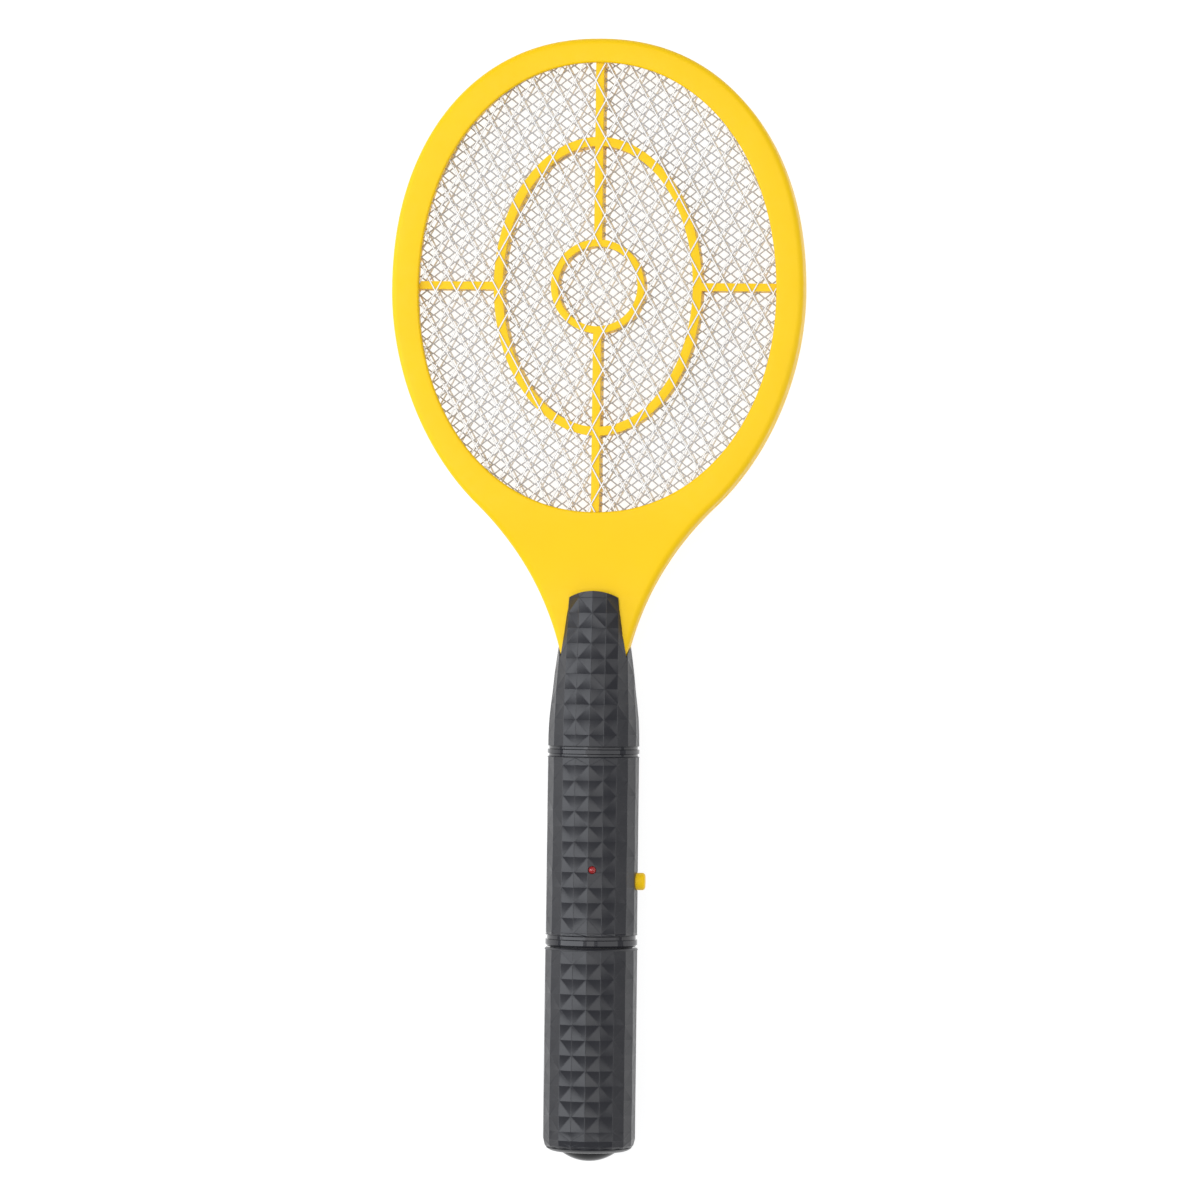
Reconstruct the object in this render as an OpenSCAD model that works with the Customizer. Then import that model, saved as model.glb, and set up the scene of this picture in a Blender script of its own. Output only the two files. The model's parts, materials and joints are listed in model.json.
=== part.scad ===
// Electric fly swatter, lying on its back.
// X runs across the head, Y from the butt of the grip to the top of the head, Z up out of the front face.
// Every module is drawn with Y measured from the butt and Z from the middle plane, and place() moves it.

/* [Overall] */
// Length from the butt to the top of the head
overall_length = 440; // [430:1:450]

/* [Head] */
// Widest half-width of the head, reached at head_centre_y
head_half_width = 81.1; // [80.5:0.1:82]
// Distance from the butt to the widest line of the head
head_centre_y = 341; // [340:0.5:342]
// Roundness of the head's upper half (2 is an ellipse)
head_upper_power = 2.18; // [2.1:0.02:2.3]
// Roundness of the head's lower half
head_lower_power = 1.9; // [1.86:0.02:1.94]
// Depth that the head's lower half would have if the neck didn't take over
head_lower_depth = 105; // [104:0.5:106]
// Radius of the hollow curve from the head into the neck
neck_radius = 120; // [116:1:124]
// Thickness of the whole head
head_thickness = 20; // [19:0.5:22]
// Thickness of the neck inside the grip
neck_thickness = 13; // [12:0.5:13.5]
// Thickness of the moulded walls of the head
frame_wall = 2.4; // [2.2:0.1:2.6]

/* [Opening] */
// Half-width of the opening in the head
opening_half_width = 70.2; // [70:0.1:70.6]
// Height of the opening above the widest line
opening_up = 89.4; // [89:0.1:89.8]
// Depth of the opening below the widest line
opening_down = 86.4; // [86:0.1:87]
// Roundness of the opening
opening_power = 2.09; // [2.02:0.01:2.14]

/* [Spacer grids] */
// Distance from the butt to the middle of the ribs
rib_centre_y = 343; // [342:0.5:344]
// Half-width of the oval rib
oval_half_width = 40.9; // [40:0.1:42]
// Half-height of the oval rib
oval_half_height = 58.5; // [57:0.5:60]
// Width of the oval rib
oval_rib = 3.5; // [3:0.1:4]
// Outer radius of the round rib
circle_radius = 18.4; // [18:0.1:19]
// Width of the round rib
circle_rib = 2.75; // [2.5:0.05:3]
// Width of the upright bars
upright_bar = 3.15; // [2.8:0.05:3.4]
// Width of the level bars
level_bar = 3.05; // [2.8:0.05:3.4]

/* [Meshes] */
// Thickness of the mesh sheets
mesh_thickness = 0.4; // [0.3:0.05:0.5]
// Width of an opening of the outer meshes
mesh_pitch_x = 8.3; // [8:0.1:9]
// Height of an opening of the outer meshes
mesh_pitch_y = 15.1; // [14.5:0.1:16]
// Width of a strand of the outer meshes
mesh_strand = 0.5; // [0.4:0.05:0.7]

/* [Grip] */
// Radius of the battery cover, the thickest section of the grip
cover_radius = 18.3; // [18.2:0.05:18.5]
// Radius of the grip's middle section
grip_radius = 18.15; // [18.1:0.05:18.2]
// Radius at the grip's neck end
neck_end_radius = 12.2; // [12.1:0.1:12.6]
// Wall thickness of the grip shells
grip_wall = 2.25; // [2.2:0.05:2.3]
// Depth of the grooves around the grip
groove_depth = 0.7; // [0.5:0.05:0.8]
// Radius of the rounded lower edge of the battery cover
cover_edge_radius = 5; // [4.5:0.25:5.25]

/* [Controls] */
// Distance from the butt to the power button
button_y = 110; // [109.5:0.5:110.5]
// Radius of the power button
button_radius = 3.4; // [3:0.1:3.6]
// How far the power button stands out of the grip
button_proud = 2.75; // [2.25:0.25:3]
// How far the power button can be pressed
button_travel = 1.2; // [0.8:0.1:1.4]
// Distance from the butt to the lamp
led_y = 114.9; // [114.5:0.1:116]
// Distance from the grip's middle line to the lamp, towards the power button
led_x = 1.7; // [0:0.1:1.8]
// Radius of the lamp
led_radius = 1.5; // [1.4:0.05:1.5]

/* [Hidden] */
$fn = 64;

yellow = [0.98, 0.80, 0.10];
black = [0.16, 0.16, 0.17];
gloss_black = [0.08, 0.08, 0.09];
steel = [0.72, 0.72, 0.74];
copper = [0.80, 0.50, 0.25];

axis_height = cover_radius;
frame_half = head_thickness / 2;
neck_half = neck_thickness / 2;
head_top = overall_length - head_centre_y;

// Curve resolution of the head outlines, in points for each quarter
curve_steps = 24;
// Where the lower half of the head hands over to the neck curve, as the outline's own angle
join_angle = 53.8;
neck_steps = 14;
// Angle between the neck's edge and the axis, where the edge goes inside the grip
neck_end_angle = 12;

// Layers inside the head, as heights above the middle plane
half_mesh = mesh_thickness / 2;
flange_z = frame_half - frame_wall;
mesh_z = flange_z - mesh_thickness;
// How far the spacer grids and the meshes reach past the opening, under the frame's flange
spacer_overlap = 3.4;
spacer_recess = 1.8;
// How much wider the opening of the rear frame is on every side
rear_opening_margin = 1.8;
mesh_overlap = 3.1;
mesh_rim = 1.1;
// How far the ribs and the strands run into their rings
ring_bite = 0.5;

// The channel for the spacer grids stops here, and a shallower pocket for the leads goes on below it
channel_low_y = 242;
pocket_low_y = 227;
pocket_z = 4.2;
// The head thins down to the neck between these two lines
slope_high_y = 250;
slope_low_y = 222;
tongue_low_y = 186;
tongue_half_width = 10.3;
lead_channel_half_width = 4;
lead_channel_z = 2.4;
tab_half_width = 3.5;
tab_low_y = 243;

// Screws that hold the head together
head_screw_inset = 4.6;
head_boss_radius = 2.3;
head_screw_radius = 1.05;
head_screw_head_radius = 2;
head_screw_angles_up = [62, 28];
head_screw_angles_down = [3, 32];
web_screw_x = 16;
web_screw_y = 240;
screw_play = 0.15;
thread_bite = 0.15;
head_screw_head_height = 1.4;

// Grip stations, as distances from the butt
dome_height = 4;
dome_radius = 11.5;
cover_end_y = 84.1;
shell_start_y = 84.5;
lower_bead_y = [85.2, 87.1];
lower_groove_end_y = 89;
upper_groove_y = [158.7, 160.1];
upper_bead_end_y = 161.6;
upper_groove_end_y = 163;
taper_start_y = 168;
cone_start_y = 175;
cone_start_radius = 17.7;
cone_end_y = 219.4;
grip_end_y = 223.7;
grip_end_curve = 19.3;
end_wall_y = 216;
neck_play = 0.2;

// Battery bay
cover_wall = 2;
cover_floor = 2.5;
plug_hole_radius = 4;
plug_play = 0.05;
tray_radius = 15.9;
tray_wall = 0.9;
tray_low_y = 13.5;
tray_bay = [16, 72.5];
tray_wall_end_y = 75;
spigot_radius = 16.05;
collar_radius = 15.75;
collar_end_y = 96;
collar_bore = 14.5;
lug_end_y = 104.4;
lug_half = 1.5;
tray_rim_z = 1;
cradle_y = [24, 38, 52, 64.5];
cradle_width = 1.5;
cell_x = 7.5;
cell_radius = 7.15;
cell_play = 0.2;
cell_length = 50.5;
nub_radius = 2.75;
nub_length = 1;
contact_thickness = 0.5;
contact_half = 4.5;
dimple_height = 0.4;
spring_wire_radius = 0.4;
spring_big_radius = 4.6;
spring_small_radius = 2.6;
spring_turns = 3;
// How far a spring's first turn is sunk into its plate
spring_sink = 0.1;
left_cell_y = tray_bay[1] - contact_thickness - cell_length;
right_cell_end_y = tray_bay[0] + contact_thickness + dimple_height;

// Grip screws
lower_screw = [10.5, 101];
upper_screw = [7, 192];
grip_screw_radius = 1.2;
grip_screw_head_radius = 2.3;
grip_boss_radius = 3;
boss_gap = 1.6;
lower_seat_z = 12.5;
upper_seat_z = 11.6;
lower_screw_tip_z = 8;
upper_screw_tip_z = 10.2;

// Circuit board
board_y = [104.6, 172];
board_x = [-12.5, 12];
board_z = [-5.6, -4];
board_screw_at = [[-9, 121], [9, 169]];
board_screw_radius = 0.9;
standoff_radius = 2.4;

// Where the parts on the board stand: [x, y]
transformer_at = [-1, 137];
capacitor_at = [0, 160];
transistor_at = [-7, 113];
core_size = [16, 13, 12];
core_leg = 4;

// Push switch and button
plunger_radius = 1.6;
plunger_play = 0.08;
switch_x = [5.5, 11.8];
switch_half_y = 3.2;
switch_top_z = 3.2;
// Room between the switch and the button's flange when the button is pressed
pressed_gap = 0.4;
flange_thickness = 1.2;
flange_low_x = switch_x[1] + button_travel + pressed_gap;
flange_x = [flange_low_x, flange_low_x + flange_thickness];
flange_radius = 4.6;
button_play = 0.3;
led_top_z = grip_radius + 0.75;
led_height = 5.3;
lead_half = 0.25;
lead_spacing = 2.54;

// Leads, as points chosen along their routes: [x, y, z]
wire_radius = 0.6;
centre_route = [[-6, 168, -3.3], [-6, 175, -2.6], [-3, 182, -0.4], [-2.6, 190, 0],
    [-2.6, 206, 0], [-2.6, 222, 0], [-2, 234, 1], [-1, 241, 1.2], [0, 247, 0.9]];
front_route = [[-3, 168, -3.3], [-2, 176, -2], [0, 183, 0], [0, 190, 0.6],
    [0, 206, 0.8], [0, 222, 0.8], [1, 232, 2.4], [1.5, 240, 2.7], [1.5, 245.5, 4.6], [1, 249, 6.4]];
rear_route = [[0, 168, -3.3], [2, 176, -2.6], [2.8, 183, -0.8], [2.8, 190, -0.4],
    [2.8, 206, -0.6], [2.8, 222, -0.6], [2.4, 232, -2.4], [1.8, 240, -2.7],
    [1.5, 245.5, -4.6], [1, 249, -6.4]];
positive_route = [[-7.5, 78.6, 3.2], [-7, 82, 1], [-6.2, 86, -2.2], [-5.6, 92, -3.2],
    [-5.4, 100, -3.3], [-5.4, 107.5, -3.35]];
negative_route = [[7.5, 78.6, 3.2], [6.6, 82, 1], [4, 86, -2.2], [0.6, 92, -3.2],
    [-1.6, 100, -3.3], [-2, 107.5, -3.35]];

function unit(v) = v / norm(v);
function mirrored(points) = [for (i = [len(points) - 1:-1:0]) [-points[i][0], points[i][1]]];
function closed_outline(right) = concat(right, mirrored(right));

// One quarter of a rounded outline, at the angle t between the side (0) and the end (90)
function quarter(a, b, power, t) = [a * pow(cos(t), 2 / power), b * pow(sin(t), 2 / power)];

// Points of an oval with its own upper and lower depth, right half only, from the top down
function oval_right(a, up, down, p_up, p_down, cy, t_end) = concat(
    [for (i = [curve_steps:-1:0]) [0, cy] + quarter(a, up, p_up, 90 * i / curve_steps)],
    [for (i = [1:curve_steps])
        let (q = quarter(a, down, p_down, t_end * i / curve_steps)) [q[0], cy - q[1]]]
);

join_point = quarter(head_half_width, head_lower_depth, head_lower_power, join_angle);
// Slope of the outline at the join, as the angle between its edge and the axis
join_slope = atan(
    pow(join_point[1], head_lower_power - 1) / pow(head_lower_depth, head_lower_power)
    * pow(head_half_width, head_lower_power) / pow(join_point[0], head_lower_power - 1)
);
neck_centre = [join_point[0], head_centre_y - join_point[1]]
    + neck_radius * [cos(join_slope), -sin(join_slope)];

head_right = oval_right(
    head_half_width, head_top, head_lower_depth,
    head_upper_power, head_lower_power, head_centre_y, join_angle
);
neck_right = [
    for (i = [1:neck_steps])
        let (a = join_slope + (neck_end_angle - join_slope) * i / neck_steps)
            neck_centre + neck_radius * [-cos(a), sin(a)]
];
outline_right = concat(head_right, neck_right);

// Inward normal of a right-half outline at its point i
function inward(points, i) =
    let (
        last = len(points) - 1,
        before = i == 0 ? [-points[1][0], points[1][1]] : points[i - 1],
        after = i == last ? points[i] : points[i + 1],
        along = unit(after - before)
    ) [along[1], -along[0]];
// The same outline moved inwards by d, or outwards when d is negative
function moved_in(points, d) = [for (i = [0:len(points) - 1]) points[i] + d * inward(points, i)];

function opening_grown(d) = oval_right(
    opening_half_width + d, opening_up + d, opening_down + d,
    opening_power, opening_power, head_centre_y, 90
);

// Places of the head's screws, right half: points of the outline moved in, and one in the web
head_screw_right = concat(
    [for (t = head_screw_angles_up) moved_in(outline_right, head_screw_inset)[
        round(curve_steps * (90 - t) / 90)]],
    [for (t = head_screw_angles_down) moved_in(outline_right, head_screw_inset)[
        curve_steps + round(curve_steps * t / join_angle)]],
    [[web_screw_x, web_screw_y]]
);
head_screw_places = concat(head_screw_right, mirrored(head_screw_right));

module place() {
    translate([0, -overall_length / 2, axis_height]) children();
}

// Turns a shape drawn along Z so that it lies along Y
module along_y() {
    rotate([-90, 0, 0]) children();
}

module opening_shape(grow) {
    polygon(closed_outline(opening_grown(grow)));
}

module rounded_bar(w, h, r) {
    square([w - 2 * r, h], center = true);
    square([w, h - 2 * r], center = true);
    for (sx = [-1, 1]) {
        for (sy = [-1, 1]) {
            translate([sx * (w / 2 - r), sy * (h / 2 - r)]) circle(r, $fn = 24);
        }
    }
}

// ---- Head frame ----

// Outline of the head, its neck and the tongue that the grip clamps
module head_shape(grow) {
    polygon(closed_outline(moved_in(outline_right, -grow)));
    tongue_top_y = outline_right[len(outline_right) - 1][1] + 2;
    translate([-tongue_half_width - grow, tongue_low_y - grow])
        square([2 * (tongue_half_width + grow), tongue_top_y - tongue_low_y + grow]);
}

module channel_shape() {
    intersection() {
        polygon(closed_outline(moved_in(outline_right, frame_wall)));
        translate([-head_half_width, channel_low_y])
            square([2 * head_half_width, overall_length - channel_low_y]);
    }
}

module pocket_shape() {
    intersection() {
        polygon(closed_outline(moved_in(outline_right, frame_wall)));
        translate([-head_half_width, pocket_low_y])
            square([2 * head_half_width, channel_low_y - pocket_low_y + 1]);
    }
}

// Wedge that is cut off the outside where the head thins down to the neck
module neck_slope() {
    past_face = frame_half + 1;
    past_end = tongue_low_y - 2;
    rotate([90, 0, 90])
        linear_extrude(2 * head_half_width, center = true)
            polygon([
                [past_end, neck_half], [slope_low_y, neck_half], [slope_high_y, frame_half],
                [slope_high_y, past_face], [past_end, past_face]
            ]);
}

// Front half of the frame without its screw holes
module frame_half_body() {
    difference() {
        linear_extrude(frame_half) head_shape(0);
        translate([0, 0, -1]) linear_extrude(head_thickness) opening_shape(0);
        translate([0, 0, -1]) linear_extrude(flange_z + 1) channel_shape();
        translate([0, 0, -1]) linear_extrude(pocket_z + 1) pocket_shape();
        translate([-lead_channel_half_width, tongue_low_y - 1, -1])
            cube([2 * lead_channel_half_width, pocket_low_y - tongue_low_y + 2, lead_channel_z + 1]);
        neck_slope();
    }
    for (p = head_screw_places) {
        boss_top = p[1] < channel_low_y ? pocket_z : flange_z;
        translate([p[0], p[1], 0]) cylinder(r = head_boss_radius, h = boss_top + 0.2, $fn = 32);
    }
}

// Holes through the tongue for the grip's upper screws
module tongue_holes() {
    for (sx = [-1, 1]) {
        translate([sx * upper_screw[0], upper_screw[1], -head_thickness])
            cylinder(r = grip_screw_radius + screw_play, h = 2 * head_thickness, $fn = 32);
    }
}

module head_front_frame() {
    color(yellow) place() difference() {
        frame_half_body();
        for (p = head_screw_places) {
            hole_top = p[1] < channel_low_y ? pocket_z + 1.5 : flange_z - 1;
            translate([p[0], p[1], -1])
                cylinder(r = head_screw_radius - thread_bite, h = hole_top + 1, $fn = 32);
        }
        tongue_holes();
    }
}

// Depth at which the heads of the head screws sit, for a screw at p
function seat_z(p) = p[1] < channel_low_y ? 5.4 : frame_half - 1.8;

module head_rear_frame() {
    color(yellow) place() mirror([0, 0, 1]) difference() {
        frame_half_body();
        translate([0, 0, -1]) linear_extrude(head_thickness) opening_shape(rear_opening_margin);
        for (p = head_screw_places) {
            translate([p[0], p[1], -1])
                cylinder(r = head_screw_radius + screw_play, h = head_thickness, $fn = 32);
            translate([p[0], p[1], seat_z(p)])
                cylinder(r = head_screw_head_radius + 0.3, h = head_thickness, $fn = 32);
        }
        tongue_holes();
    }
}

module screw(shank_r, head_r, head_h, length) {
    cylinder(r = shank_r, h = length, $fn = 32);
    difference() {
        translate([0, 0, -head_h]) cylinder(r = head_r, h = head_h, $fn = 48);
        for (a = [0, 90]) {
            rotate([0, 0, a]) translate([-head_r * 0.6, -0.25, -head_h - 1])
                cube([head_r * 1.2, 0.5, 1 + head_h * 0.55]);
        }
    }
}

module head_screws() {
    color(steel) place() for (p = head_screw_places) {
        tip = p[1] < channel_low_y ? 4.8 : 6;
        translate([p[0], p[1], -seat_z(p)])
            screw(head_screw_radius, head_screw_head_radius, head_screw_head_height, seat_z(p) + tip);
    }
}

// ---- Meshes and spacer grids ----

module oval_ring(a, b, w) {
    steps = 96;
    difference() {
        polygon([for (i = [0:steps - 1]) [a * cos(360 * i / steps), b * sin(360 * i / steps)]]);
        polygon([for (i = [0:steps - 1]) [
            (a - w) * cos(360 * i / steps), (b - w) * sin(360 * i / steps)]]);
    }
}

module rib_shape() {
    far = overall_length;
    translate([0, rib_centre_y]) {
        oval_ring(oval_half_width, oval_half_height, oval_rib);
        difference() {
            circle(circle_radius, $fn = 96);
            circle(circle_radius - circle_rib, $fn = 96);
        }
        difference() {
            translate([-upright_bar / 2, -far / 2]) square([upright_bar, far]);
            circle(circle_radius - circle_rib / 2, $fn = 96);
        }
        for (sx = [-1, 1]) {
            translate([sx * (far / 4 + oval_half_width - 1), 0]) square([far / 2, level_bar], center = true);
        }
    }
}

module spacer_grid() {
    translate([0, 0, half_mesh]) linear_extrude(mesh_z - half_mesh) {
        difference() {
            opening_shape(spacer_overlap);
            opening_shape(spacer_recess);
        }
        intersection() {
            opening_shape(spacer_recess + ring_bite);
            rib_shape();
        }
    }
}

module front_spacer_grid() {
    color(yellow) place() spacer_grid();
}

module rear_spacer_grid() {
    color(yellow) place() mirror([0, 0, 1]) spacer_grid();
}

// Tab on the lower edge of a mesh sheet, for its lead
module solder_tab() {
    tab_high_y = head_centre_y - opening_down - mesh_overlap + mesh_rim / 2;
    translate([-tab_half_width, tab_low_y, 0])
        cube([2 * tab_half_width, tab_high_y - tab_low_y, mesh_thickness]);
}

// Straight strands that cross in diamonds
module strand_shape(px, py, w) {
    slant = atan(py / px);
    reach = 2 * overall_length;
    step = px * sin(slant);
    count = ceil(opening_up * cos(slant) / step + opening_half_width * sin(slant) / step) + 1;
    translate([0, head_centre_y]) for (s = [-1, 1]) {
        rotate([0, 0, s * slant]) for (i = [-count:count]) {
            translate([-reach / 2, i * step - w / 2]) square([reach, w]);
        }
    }
}

module outer_mesh() {
    translate([0, 0, mesh_z]) {
        linear_extrude(mesh_thickness) {
            difference() {
                opening_shape(mesh_overlap);
                opening_shape(mesh_overlap - mesh_rim);
            }
            intersection() {
                opening_shape(mesh_overlap - mesh_rim + ring_bite);
                strand_shape(mesh_pitch_x, mesh_pitch_y, mesh_strand);
            }
        }
        solder_tab();
    }
}

module front_mesh() {
    color(steel) place() outer_mesh();
}

module rear_mesh() {
    color(steel) place() mirror([0, 0, 1]) outer_mesh();
}

// The fine mesh, drawn as a whole sheet
module centre_mesh() {
    color(steel) place() translate([0, 0, -half_mesh]) {
        linear_extrude(mesh_thickness) opening_shape(mesh_overlap);
        solder_tab();
    }
}

// ---- Grip shells ----

function cone_radius(y) = cone_start_radius
    + (neck_end_radius - cone_start_radius) * (y - cone_start_y) / (cone_end_y - cone_start_y);

// Outside of the grip above the battery cover, as [radius, distance from the butt]
function grip_outside() =
    let (low = grip_radius - groove_depth, bead = grip_radius - 0.1) [
        [low, shell_start_y], [bead, lower_bead_y[0]], [bead, lower_bead_y[1]],
        [low, lower_bead_y[1] + 0.3], [low, lower_groove_end_y - 0.4], [grip_radius, lower_groove_end_y],
        [grip_radius, upper_groove_y[0]], [low, upper_groove_y[0] + 0.3],
        [low, upper_groove_y[1] - 0.3], [bead, upper_groove_y[1]], [bead, upper_bead_end_y],
        [low, upper_bead_end_y + 0.3], [low, upper_groove_end_y - 0.3],
        [grip_radius - 0.05, upper_groove_end_y], [grip_radius - 0.1, taper_start_y],
        [cone_start_radius, cone_start_y],
        [cone_radius(grip_end_y), grip_end_y]
    ];

function grip_inside() = [
    [cone_radius(end_wall_y) - grip_wall, end_wall_y],
    [cone_start_radius - grip_wall, cone_start_y],
    [grip_radius - grip_wall, taper_start_y],
    [grip_radius - grip_wall, shell_start_y]
];

module grip_tube() {
    along_y() rotate_extrude($fn = 96)
        polygon(concat([[0, grip_end_y], [0, end_wall_y]], grip_inside(), grip_outside()));
}

// Plan of the grip, with its curved end over the neck
module grip_plan() {
    half = 2 * cover_radius;
    steps = 16;
    end_angle = asin((neck_end_radius + 1) / grip_end_curve);
    curve_y = grip_end_y - grip_end_curve;
    polygon(concat(
        [[-half, 0], [half, 0], [half, curve_y + grip_end_curve * cos(end_angle)]],
        [for (i = [0:steps])
            let (a = end_angle * (1 - 2 * i / steps))
                [grip_end_curve * sin(a), curve_y + grip_end_curve * cos(a)]],
        [[-half, curve_y + grip_end_curve * cos(end_angle)]]
    ));
}

// Columns inside a shell for the grip screws, from the middle plane outwards
module grip_bosses() {
    for (sx = [-1, 1]) {
        translate([sx * lower_screw[0], lower_screw[1], boss_gap])
            cylinder(r = grip_boss_radius, h = cover_radius, $fn = 32);
        translate([sx * upper_screw[0], upper_screw[1], neck_half + 0.1])
            cylinder(r = grip_boss_radius, h = cover_radius, $fn = 32);
    }
}

module upper_half_space() {
    translate([-2 * cover_radius, 0, 0])
        cube([4 * cover_radius, overall_length, 2 * cover_radius]);
}

module grip_solid() {
    intersection() {
        along_y() rotate_extrude($fn = 96)
            polygon(concat([[0, grip_end_y], [0, shell_start_y]], grip_outside()));
        translate([0, 0, -cover_radius]) linear_extrude(2 * cover_radius) grip_plan();
    }
}

// One shell, drawn as the front one
module grip_half() {
    difference() {
        intersection() {
            upper_half_space();
            grip_solid();
            union() {
                grip_tube();
                grip_bosses();
            }
        }
        translate([0, 0, -neck_half - neck_play])
            linear_extrude(neck_thickness + 2 * neck_play) head_shape(neck_play);
        translate([0, button_y, 0]) rotate([0, 90, 0])
            cylinder(r = button_radius + button_play, h = 2 * cover_radius, $fn = 48);
    }
}

module grip_screw_holes(r) {
    for (sx = [-1, 1]) {
        translate([sx * lower_screw[0], lower_screw[1], -1])
            cylinder(r = r, h = lower_screw_tip_z + 1.8, $fn = 32);
        translate([sx * upper_screw[0], upper_screw[1], -1])
            cylinder(r = r, h = upper_screw_tip_z + 1.4, $fn = 32);
    }
}

module grip_screw_seats() {
    for (sx = [-1, 1]) {
        translate([sx * lower_screw[0], lower_screw[1], lower_seat_z])
            cylinder(r = grip_screw_head_radius + 0.3, h = cover_radius, $fn = 32);
        translate([sx * upper_screw[0], upper_screw[1], upper_seat_z])
            cylinder(r = grip_screw_head_radius + 0.3, h = cover_radius, $fn = 32);
        translate([sx * lower_screw[0], lower_screw[1], 0])
            cylinder(r = grip_screw_radius + screw_play, h = cover_radius, $fn = 32);
        translate([sx * upper_screw[0], upper_screw[1], 0])
            cylinder(r = grip_screw_radius + screw_play, h = cover_radius, $fn = 32);
    }
}

module grip_front_shell() {
    color(black) place() difference() {
        grip_half();
        grip_screw_holes(grip_screw_radius - thread_bite);
        translate([led_x, led_y, 0]) cylinder(r = led_radius + 0.1, h = 2 * cover_radius, $fn = 32);
    }
}

// Posts inside the rear shell that carry the circuit board
module standoffs() {
    intersection() {
        for (p = board_screw_at) {
            translate([p[0], p[1], -cover_radius])
                cylinder(r = standoff_radius, h = cover_radius + board_z[0], $fn = 32);
        }
        along_y() cylinder(r = grip_radius - grip_wall / 2, h = overall_length);
    }
}

module grip_rear_shell() {
    color(black) place() difference() {
        union() {
            mirror([0, 0, 1]) difference() {
                grip_half();
                grip_screw_seats();
            }
            standoffs();
        }
        for (p = board_screw_at) {
            translate([p[0], p[1], board_z[0] - 5.5])
                cylinder(r = board_screw_radius - thread_bite, h = 7, $fn = 32);
        }
    }
}

module grip_screws() {
    color(steel) place() for (sx = [-1, 1]) {
        translate([sx * lower_screw[0], lower_screw[1], -lower_seat_z])
            screw(grip_screw_radius, grip_screw_head_radius, 1.5, lower_seat_z + lower_screw_tip_z);
        translate([sx * upper_screw[0], upper_screw[1], -upper_seat_z])
            screw(grip_screw_radius, grip_screw_head_radius, 1.5, upper_seat_z + upper_screw_tip_z);
    }
}

// ---- Battery bay ----

module battery_cover() {
    bore = cover_radius - cover_wall;
    floor_y = dome_height + cover_floor;
    edge = [
        for (i = [0:12])
            let (a = 90 * i / 12)
                [cover_radius - cover_edge_radius + cover_edge_radius * sin(a),
                    dome_height + cover_edge_radius - cover_edge_radius * cos(a)]
    ];
    color(black) place() along_y() rotate_extrude($fn = 96) polygon(concat(
        [[plug_hole_radius, dome_height]],
        edge,
        [[cover_radius, cover_end_y - groove_depth], [cover_radius - groove_depth, cover_end_y],
            [bore, cover_end_y], [bore, floor_y + 3], [bore - 3, floor_y], [plug_hole_radius, floor_y]]
    ));
}

// Domed plug in the butt of the battery cover, held by its stem
module end_plug() {
    sphere_radius = (pow(dome_radius, 2) + pow(dome_height, 2)) / (2 * dome_height);
    dome_angle = asin(dome_radius / sphere_radius);
    dome = [
        for (i = [0:12])
            let (a = dome_angle * i / 12)
                [sphere_radius * sin(a), sphere_radius * (1 - cos(a))]
    ];
    stem_end_y = dome_height + cover_floor + 1.5;
    color(gloss_black) place() along_y() rotate_extrude($fn = 96) polygon(concat(
        dome,
        [[plug_hole_radius - plug_play, dome_height], [plug_hole_radius - plug_play, stem_end_y],
            [0, stem_end_y]]
    ));
}

module disc(r, y0, y1) {
    translate([0, y0, 0]) along_y() cylinder(r = r, h = y1 - y0, $fn = 96);
}

module cell_pockets() {
    for (sx = [-1, 1]) {
        translate([sx * cell_x, tray_bay[0], 0])
            along_y() cylinder(r = cell_radius + cell_play, h = tray_bay[1] - tray_bay[0], $fn = 48);
    }
}

// Open tray for the cells, its end walls, and the collar that the grip shells clamp
module battery_tray() {
    bay = tray_bay[1] - tray_bay[0];
    slot_x = 1.3;
    color(black) place() difference() {
        union() {
            difference() {
                union() {
                    difference() {
                        disc(tray_radius, tray_bay[0] - 0.1, tray_bay[1] + 0.1);
                        disc(tray_radius - tray_wall, tray_bay[0] - 1, tray_bay[1] + 1);
                    }
                    for (y = cradle_y) disc(tray_radius - 0.2, y, y + cradle_width);
                }
                translate([-2 * tray_radius, tray_bay[0] - 1, tray_rim_z])
                    cube([4 * tray_radius, bay + 2, 2 * tray_radius]);
                cell_pockets();
            }
            disc(tray_radius, tray_low_y, tray_bay[0]);
            disc(tray_radius, tray_bay[1], tray_wall_end_y);
            difference() {
                union() {
                    disc(spigot_radius, tray_wall_end_y - 0.5, shell_start_y);
                    disc(collar_radius, shell_start_y - 0.5, collar_end_y);
                }
                disc(collar_bore, tray_wall_end_y, collar_end_y + 1);
            }
            intersection() {
                translate([-2 * tray_radius, collar_end_y - 6, -lug_half])
                    cube([4 * tray_radius, lug_end_y - collar_end_y + 6, 2 * lug_half]);
                disc(collar_radius, collar_end_y - 6, lug_end_y);
            }
        }
        for (sx = [-1, 1]) {
            translate([sx * lower_screw[0], lower_screw[1], -5])
                cylinder(r = grip_screw_radius + screw_play, h = 10, $fn = 32);
            translate([sx * cell_x - slot_x, tray_bay[1] - 1, 2.6])
                cube([2 * slot_x, tray_wall_end_y - tray_bay[1] + 2, 1.2]);
        }
    }
}

// A cell along Y from its flat end, pointing the way of its nub
module cell() {
    along_y() {
        cylinder(r = cell_radius - 0.5, h = 0.4, $fn = 64);
        translate([0, 0, 0.4]) cylinder(r = cell_radius, h = cell_length - nub_length - 0.8, $fn = 64);
        translate([0, 0, cell_length - nub_length - 0.4]) cylinder(r = cell_radius - 0.5, h = 0.4, $fn = 64);
        translate([0, 0, cell_length - nub_length]) cylinder(r = nub_radius, h = nub_length, $fn = 48);
    }
}

module battery_left() {
    color(copper) place() translate([-cell_x, left_cell_y, 0]) cell();
}

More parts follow.
